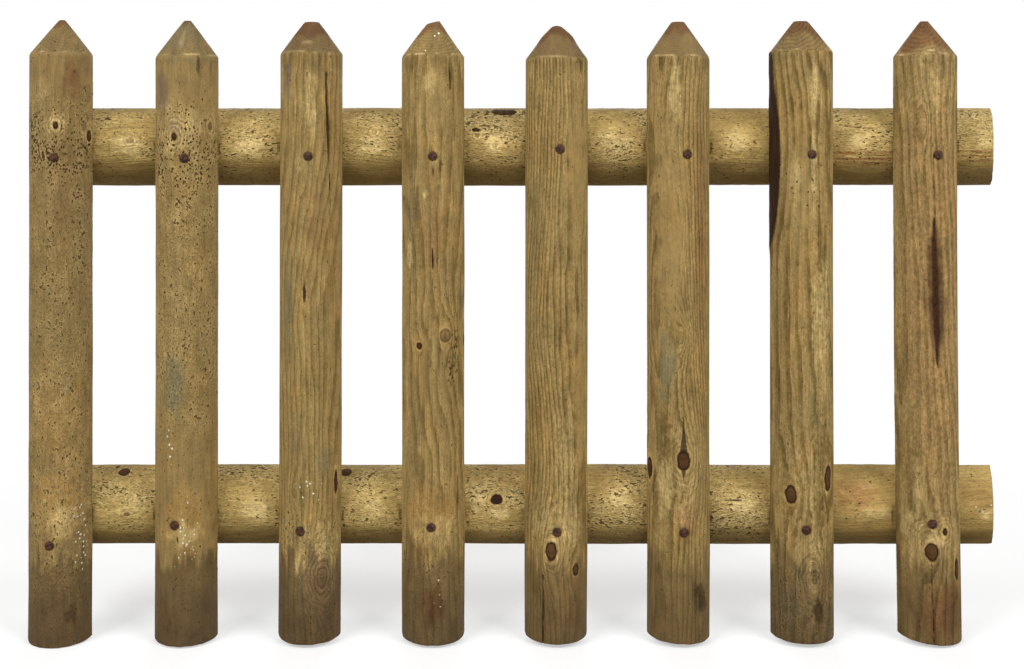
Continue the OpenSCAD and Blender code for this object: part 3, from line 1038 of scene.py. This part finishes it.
def layers_of_pale(figure, pale, up_point, peel):
    """The rings, the damp and the flecks of a pale, and the brown and the torn fibres of its point."""
    marks, front, height = figure.layers, figure.front, figure.along

    # The foot is damp up to a streaky line, and the rest a little; where it is wet the rings show less
    streaky = height + 24 * figure.noise(7, 60, 36)
    streaky = streaky + 12 * figure.noise(3, 30, 39)
    wet = 0.75 * smooth(152, 118, streaky) + 0.25 * smooth(105, 15, streaky)
    dry = (1 - 0.8 * marks["honey"]) * (1 - marks["whorl"])
    damp = np.maximum(pale.wet_foot * wet, pale.tone * front * dry)

    # The point is brown from its tip down, and a pale line of torn fibres runs along its lower edge
    ends = ~figure.rounded & ~figure.back
    cone = figure.rounded & (up_point > 0.01)
    on_point = cone | (ends & (up_point > 0))
    cut = np.where((up_point > 0.01) | ends, 1.0, 0.0)
    brown_from = 1 - pale.point.brown
    brown = up_point + 0.2 * figure.noise(24, 40, 41)
    brown = np.where(on_point, smooth(brown_from - 0.14, brown_from + 0.14, brown), 0)
    marks["warm"] = np.maximum(marks["warm"], 0.95 * brown)
    under_shoulder = 0.4 * smooth(-20, -3, streaky - pale.shoulder) * (figure.rounded & ~cone)
    damp = np.maximum(damp, np.where(on_point, pale.point.damp + 0.06 * brown, under_shoulder))
    torn = cut * smooth(3.6, 1.0, np.abs(height - pale.shoulder - 1.8))
    torn = torn * (0.4 + 0.6 * drift(figure.across / 9, 0, 0, figure.seed + 38))
    marks["light"] = np.maximum(marks["light"], front * torn)

    lines = pale.lines * (1 - marks["plain"]) * (1 - 0.5 * wet)
    lines = np.maximum(lines, 0.9 * smooth(15, 5, figure.knot))
    lines = np.where(figure.back, 0.85, np.where(cut > 0.5, 1, lines))
    point_pith = (0.4 * pale.pith[0], -12)
    ring = np.where(on_point, figure.rings(point_pith), figure.rings(pale.pith)) / pale.ring

    # On the point the saw cuts across the fibres
    axis_share = figure.out / figure.radius
    figure.turned_across = np.where(cone, figure.turned_across * axis_share, figure.turned_across)
    figure.out = np.where(cone, figure.radius - 0.3 * (figure.radius - figure.out), figure.out)
    return {
        "ring": ring, "lines": np.where(on_point, pale.point.lines, lines), "peel": peel * front, "damp": damp
    }


def shape_pale(piece, number, pale, sizes):
    """Gives a blank the place, height, point and lean of one pale, then its figure."""
    x, y, z = points_of(piece.data).T
    radius, shoulder, point = sizes.pale_radius / MM, sizes.pale_shoulder / MM, sizes.point_height / MM
    back, rounded = faces_of(x, y, radius)
    new_x, new_y, height, up_point, edge = pale_outline(x, y, z, rounded, pale, sizes)
    across = np.where(back, new_x, np.arctan2(x, -y) * radius)
    figure = Figure(new_x, new_y, across, height, back, rounded, radius, 40 * number)
    figure.grow(pale, 0, pale.top, 40)

    lean = math.tan(math.radians(pale.lean))
    bow = pale.bow * ((height - MIDDLE) / MIDDLE) ** 2
    place = row_places(sizes)[number - 1]
    world = np.stack([
        new_x + place + (height - MIDDLE) * lean + bow, new_y + PALE_BACK + LOG_SET_BACK, height + FEET
    ], axis=1)
    # The dark rings round the nail heads go in as stain; they are partly stain and partly painted shade.
    dent, dark = nail_dent(world, (f"nail_upper_{number}", f"nail_lower_{number}"))
    figure.darken(dark * figure.front)
    figure.layers["bark"][up_point > 0] = 0
    peel = peel_of_pale(figure, pale)
    edges = sharp_edges(figure, z, edge, (0, shoulder, shoulder + point))
    lift = relief_of_pale(figure, edges, peel, dent)
    layers = layers_of_pale(figure, pale, up_point, peel)
    dress(piece, figure, world, lift, layers, (900.0 * number, 0, 1300.0 * number))


def shape_rail(piece, rail, seed, sizes):
    """Lays a blank along the row, leans its right-hand end and cuts the seats for the pales."""
    x, y, z = points_of(piece.data).T
    radius, flat = sizes.rail_radius / MM, -LOG_SET_BACK
    length, left = sizes.rail_length / MM, -sizes.rail_left / MM
    back, rounded = faces_of(x, y, radius)
    depth = y - flat
    row = z + left + depth * math.tan(math.radians(END_LEAN)) * (z / length) ** 8
    across = np.where(back, -x, np.arctan2(-x, -y) * radius)
    figure = Figure(x, y, across, row, back, rounded, radius, seed)
    figure.grow(rail, left, length, 50)

    world = np.stack([row, depth, rail.height - x], axis=1)
    edges = sharp_edges(figure, z, math.sqrt(radius ** 2 - flat ** 2), (0, length))
    wear = np.where(edges, 0.7 + 0.4 * figure.noise(9, 11, 31), 0)
    swell = 0.9 * figure.noise(45, 190, 32) + 0.4 * figure.noise(13, 60, 33) + 0.22 * figure.noise(6, 16, 34)
    lift = figure.lift + np.where(back, saw_marks(figure), figure.front * swell) - wear

    marks, front, ends = figure.layers, figure.front, ~back & ~rounded
    fade = 1 - 0.6 * smooth(rail.fleck_end - 80, rail.fleck_end + 20, row)
    peel = 0.95 + 0.4 * figure.noise(30, 90, 37)
    peel = front * peel * (0.6 + 0.4 * smooth(-34, -12, across))
    peel = peel * fade * (1 - marks["plain"]) + 0.5 * marks["scraps"]
    lines = np.maximum(0.3 + 0.7 * ends + 0.55 * back, marks["lined"])
    # The lower part of the round face, from a little below the crown down, is darkened with the damp tint, so
    # the rail is darker towards its bottom.
    underside = smooth(-20, -31, across + 5 * drift(row / 60, across / 20, 0, seed + 36))
    layers = {
        "ring": figure.rings(rail.pith) / rail.ring,
        "lines": np.maximum(lines, 0.9 * smooth(15, 5, figure.knot)),
        "peel": peel,
        "scraps": np.zeros(len(row)),    # a rail's scraps are part of its peel, with no round specks
        "damp": np.maximum(0.25 * ends, front * 0.4 * underside),
    }
    dress(piece, figure, world, lift, layers, (5000.0 + 40 * seed, 0, 3000.0 + 90 * seed))
    cut_seats(piece, sizes)


def cut_seats(piece, sizes):
    """Flattens the crown under each pale, so that the pale beds on it."""
    points = points_of(piece.data)
    half_seat = sizes.pale_radius / MM + SEAT_MARGIN
    for place in row_places(sizes):
        under = (np.abs(points[:, 0] - place) < half_seat) & (points[:, 1] < PALE_BACK)
        points[under, 1] = PALE_BACK
    put_points(piece.data, points)


def nail_blank(sizes):
    """A round-headed nail with the top of its head at the origin and its point towards +Y."""
    head, thick = sizes.nail_head, NAIL_HEAD_THICK * MM
    bpy.ops.object.select_all(action="DESELECT")
    bpy.ops.mesh.primitive_cylinder_add(
        vertices=NAIL_SIDES, radius=head, depth=thick, location=(0, 0, -thick / 2)
    )
    bpy.ops.object.transform_apply(location=True, rotation=True, scale=True)
    piece = bpy.context.object
    bpy.ops.object.mode_set(mode="EDIT")
    bpy.ops.mesh.select_mode(type="FACE")

    # The beaten top of the head
    pick_faces(piece, lambda normal: normal.z > 0.9)
    for width, rise in ((0.9, 0.45), (2.2, 0.15), (2.0, -0.1)):
        bpy.ops.mesh.inset(thickness=width * MM, depth=rise * MM)

    # The shank and its point
    pick_faces(piece, lambda normal: normal.z < -0.9)
    bpy.ops.mesh.inset(thickness=head - sizes.nail_radius, depth=0)
    for reach in (NAIL_SHANK, NAIL_POINT):
        bpy.ops.mesh.extrude_region_move(TRANSFORM_OT_translate={"value": (0, 0, -reach * MM)})
    bpy.ops.transform.resize(value=(0.12, 0.12, 1))
    bpy.ops.mesh.select_all(action="SELECT")
    bpy.ops.mesh.normals_make_consistent(inside=False)
    bpy.ops.object.mode_set(mode="OBJECT")
    piece.data.transform(Matrix.Rotation(math.radians(90), 4, "X"))
    return piece


def drive_nail(piece, node, seed):
    """Beats a nail's head out of round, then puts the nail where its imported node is."""
    points = points_of(piece.data)
    x, y, z = points.T
    beaten = smooth(4, 0, y)
    angle = np.arctan2(z, x)
    rim = 1 + 0.07 * beaten * drift(np.cos(angle) * 1.6, np.sin(angle) * 1.6, 0, seed)
    on_head = np.hypot(x, z) > 3.2
    points[:, 0] *= rim
    points[:, 2] *= rim
    points[:, 1] += beaten * 0.3 * drift(x / 4, z / 4, 1, seed) * on_head
    head, way = nail_line(node)
    turn = Vector((0, 1, 0)).rotation_difference(Vector(way)).to_matrix()
    put_points(piece.data, points @ np.array(turn).T + head)


class FENCE_OT_rails(bpy.types.Operator):
    """Make the two peeled half-round rails"""

    bl_idname = "fence.rails"
    bl_label = "Rails"

    def execute(self, context):
        sizes, colours = context.scene.fence_sizes, context.scene.fence_colours
        wood = softwood(
            "pine, half-round, peeled and pressure-treated", colours, colours.rail_early, colours.rail_late,
            colours.fleck, chip_size=(3.0, 7.5, 3), coarse=1.0
        )
        blank = half_log("rail_blank", sizes.rail_radius, sizes.rail_length, RAIL_ROUNDS)
        for seed, rail in enumerate(RAILS, 7):
            piece = copy_of(blank, rail.name + "_wood")
            shape_rail(piece, rail, 100 * seed, sizes)
            finish_piece(context, piece, wood, rail.name)
        bpy.data.objects.remove(blank)
        return {"FINISHED"}


class FENCE_OT_pales(bpy.types.Operator):
    """Make the eight pointed half-round pales"""

    bl_idname = "fence.pales"
    bl_label = "Pales"

    def execute(self, context):
        sizes, colours = context.scene.fence_sizes, context.scene.fence_colours
        wood = softwood(
            "pine, half-round, machined and pressure-treated", colours, colours.pale_early, colours.pale_late,
            colours.speck, chip_size=(3.6, 5.4, 2), coarse=0.75
        )
        blank = half_log(
            "pale_blank", sizes.pale_radius, sizes.pale_shoulder, PALE_ROUNDS, point=sizes.point_height
        )
        for number, pale in enumerate(PALES, 1):
            piece = copy_of(blank, f"pale_{number}_wood")
            shape_pale(piece, number, pale, sizes)
            finish_piece(context, piece, wood, f"pale_{number}")
        bpy.data.objects.remove(blank)
        return {"FINISHED"}


class FENCE_OT_nails(bpy.types.Operator):
    """Make the sixteen rusty nails"""

    bl_idname = "fence.nails"
    bl_label = "Nails"

    def execute(self, context):
        sizes, colours = context.scene.fence_sizes, context.scene.fence_colours
        steel = rusty_steel(colours)
        blank = nail_blank(sizes)
        for row, name in enumerate(("upper", "lower")):
            for number in range(1, len(PALES) + 1):
                node = f"nail_{name}_{number}"
                piece = copy_of(blank, node + "_steel")
                drive_nail(piece, node, 20 * number + row)
                finish_piece(context, piece, steel, node)
        bpy.data.objects.remove(blank)
        return {"FINISHED"}


class FENCE_OT_stage(bpy.types.Operator):
    """Set up the pale floor, the soft light and the camera"""

    bl_idname = "fence.stage"
    bl_label = "Stage"

    def execute(self, context):
        context.scene.view_settings.view_transform = "Standard"
        lay_floor(context)
        light_room(context)

        # The camera looks straight at the panel
        bpy.ops.object.camera_add(location=CAMERA_PLACE, rotation=(math.radians(90), 0, 0))
        camera = context.object
        camera.name = camera.data.name = "camera"
        camera.data.lens = CAMERA_LENS
        camera.data.shift_x, camera.data.shift_y = CAMERA_SHIFT
        bpy.context.scene.camera = camera
        return {"FINISHED"}


def lay_floor(context):
    """A wide plain floor at the feet. It shows pale, with the fence's shadow, and white farther off.

    It throws little light back up.
    """
    colours = context.scene.fence_colours
    lowest = min(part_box(f"pale_{number}")[0].z for number in range(1, len(PALES) + 1))
    bpy.ops.object.select_all(action="DESELECT")
    bpy.ops.mesh.primitive_plane_add(size=FLOOR_SIZE, location=(0, 0, lowest))
    floor = context.object
    floor.name = floor.data.name = "floor"
    material, add = new_material("floor, matt and pale")
    far = add("VectorMath", (add("TexCoord", output="Object"),), output="Value", operation="LENGTH")
    shown = seen(add)
    white = add("MapRange", (far, WHITE_FROM, WHITE_AT, 0.5, 1), **S_CURVE)
    white = add("Math", (white, shown), **TIMES)
    paint = {FACTOR: shown, COLOUR_A: (*colours.floor_in_light, 1), COLOUR_B: (*colours.floor, 1)}
    matt = add("BsdfDiffuse", {"Color": add("Mix", paint, **IN_COLOUR)})
    both = add("MixShader", (white, matt, add("Emission", {"Strength": 1.0})))
    add("OutputMaterial", {"Surface": both}, output=())
    floor.data.materials.append(material)


def light_room(context):
    """A white room, dimmer as a light than it looks, with lamps high in front and a weaker one behind."""
    world = bpy.data.worlds.new("studio")
    world.use_nodes = True
    world.node_tree.nodes.clear()
    add = partial(add_node, world.node_tree)
    room, white = (
        add("Background", {"Color": (1, 1, 1, 1), "Strength": strength}) for strength in (ROOM_LIGHT, 1.0)
    )
    add("OutputWorld", {"Surface": add("MixShader", (seen(add), room, white))}, output=())
    context.scene.world = world

    for name, place, width, height, watts in LAMPS:
        bpy.ops.object.light_add(type="AREA", location=place)
        lamp = context.object
        lamp.name = lamp.data.name = name
        lamp.data.shape = "RECTANGLE"
        lamp.data.size, lamp.data.size_y, lamp.data.energy = width, height, watts
        lamp.rotation_euler = (Vector(LAMP_AIM) - lamp.location).to_track_quat("-Z", "Y").to_euler()


class FENCE_PT_panel(bpy.types.Panel):
    """Buttons for the fence's pieces"""

    bl_idname = "FENCE_PT_panel"
    bl_label = "Palisade Fence Panel"
    bl_space_type = "VIEW_3D"
    bl_region_type = "UI"
    bl_category = "Fence"

    def draw(self, context):
        for operator in OPERATORS:
            self.layout.operator(operator.bl_idname)
        for group in (context.scene.fence_sizes, context.scene.fence_colours):
            for name in group.__annotations__:
                self.layout.prop(group, name)


OPERATORS = (FENCE_OT_rails, FENCE_OT_pales, FENCE_OT_nails, FENCE_OT_stage)
CLASSES = (FenceSizes, FenceColours, *OPERATORS, FENCE_PT_panel)


def register():
    for cls in CLASSES:
        bpy.utils.register_class(cls)
    bpy.types.Scene.fence_sizes = bpy.props.PointerProperty(type=FenceSizes)
    bpy.types.Scene.fence_colours = bpy.props.PointerProperty(type=FenceColours)


def unregister():
    del bpy.types.Scene.fence_colours
    del bpy.types.Scene.fence_sizes
    for cls in reversed(CLASSES):
        bpy.utils.unregister_class(cls)


def main():
    register()
    bpy.ops.fence.rails()
    bpy.ops.fence.pales()
    bpy.ops.fence.nails()
    bpy.ops.fence.stage()


if __name__ == "__main__":
    main()
